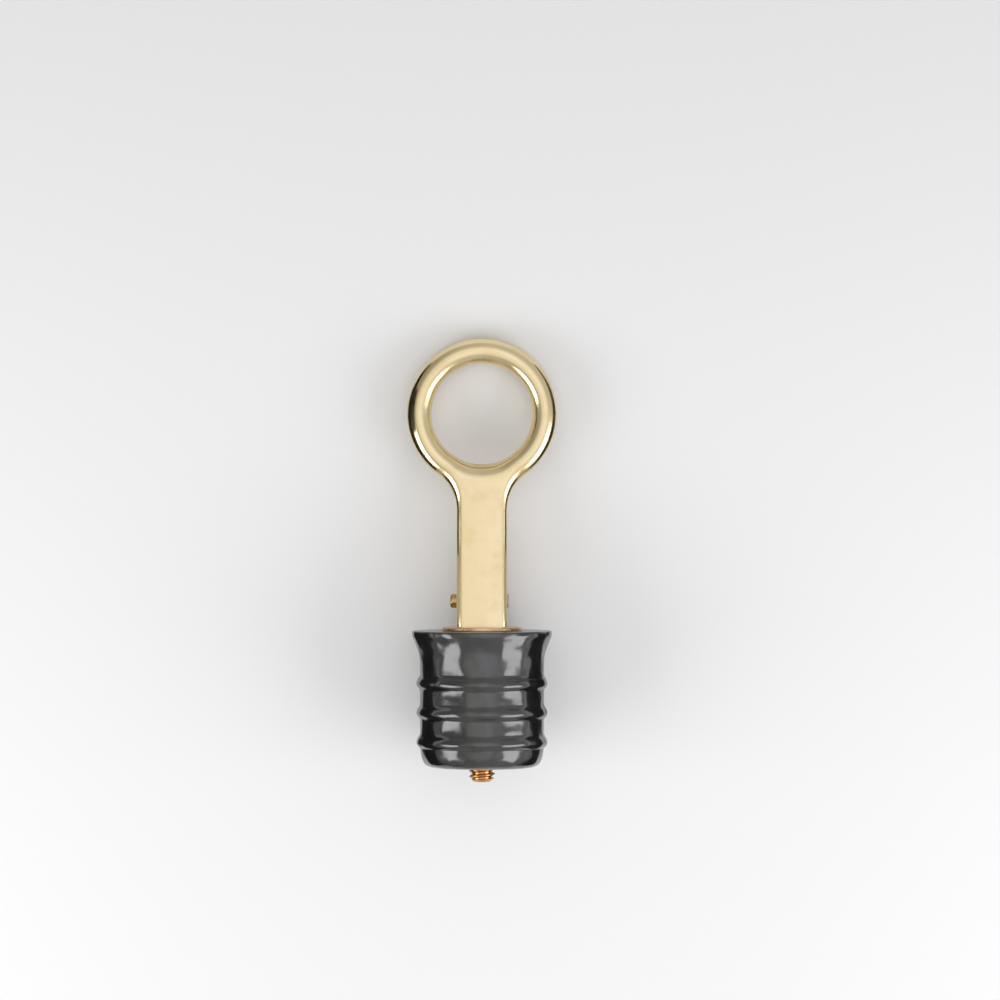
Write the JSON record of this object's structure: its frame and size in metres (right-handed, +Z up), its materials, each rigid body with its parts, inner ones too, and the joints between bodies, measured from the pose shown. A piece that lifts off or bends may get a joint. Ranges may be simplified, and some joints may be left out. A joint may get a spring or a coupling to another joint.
{
  "type": "boat drain plug",
  "caption": "Snap-lever drain plug: a ringed brass lever with a cam squeezes a ribbed rubber bung until it seals a drain tube.",
  "frame": {"origin": "on the surface that the plug lies on, under the middle of its box", "axes": "+Z up, out of the surface; +Y along the plug as it lies, from the bung's foot to the ring; +X across"},
  "size_m": [0.0358, 0.1039, 0.0371],
  "materials": {
    "neoprene": "gloss",
    "polished_brass": "polished",
    "turned_brass": "satin",
    "washer_brass": "satin"
  },
  "bodies": {
    "bung": {"rubber_bung": "neoprene"},
    "nut": {"base_nut": "turned_brass"},
    "stud": {"threaded_stud": "turned_brass"},
    "washer": {"top_washer": "washer_brass"},
    "lever": {"lever": "polished_brass", "pivot_pin": "turned_brass"}
  },
  "joints": [
    {"name": "handle_turn", "type": "hinge", "parent": "bung", "child": "stud", "pos_m": [0, -0.0164, 0.0162], "axis": [0, -0.9773, 0.212], "range_deg": [-360, 1080]},
    {"name": "nut_climb", "type": "slide", "parent": "bung", "child": "nut", "axis": [0, 0.9773, -0.212], "range_m": [-0.00128, 0.00382], "deforming": ["rubber_bung"]},
    {"name": "lever_fold", "type": "hinge", "parent": "stud", "child": "lever", "pos_m": [0, -0.00947, 0.01469], "axis": [-1, 0, 0], "range_deg": [0, 90]},
    {"name": "washer_press", "type": "slide", "parent": "stud", "child": "washer", "axis": [0, -0.9773, 0.212], "range_m": [0, 0.00301], "deforming": ["rubber_bung"]}
  ],
  "couplings": [
    {"joint": "washer_press", "follows": "lever_fold", "m_per_rad": 0.0019099},
    {"joint": "nut_climb", "follows": "handle_turn", "m_per_rad": 0.00020213}
  ]
}
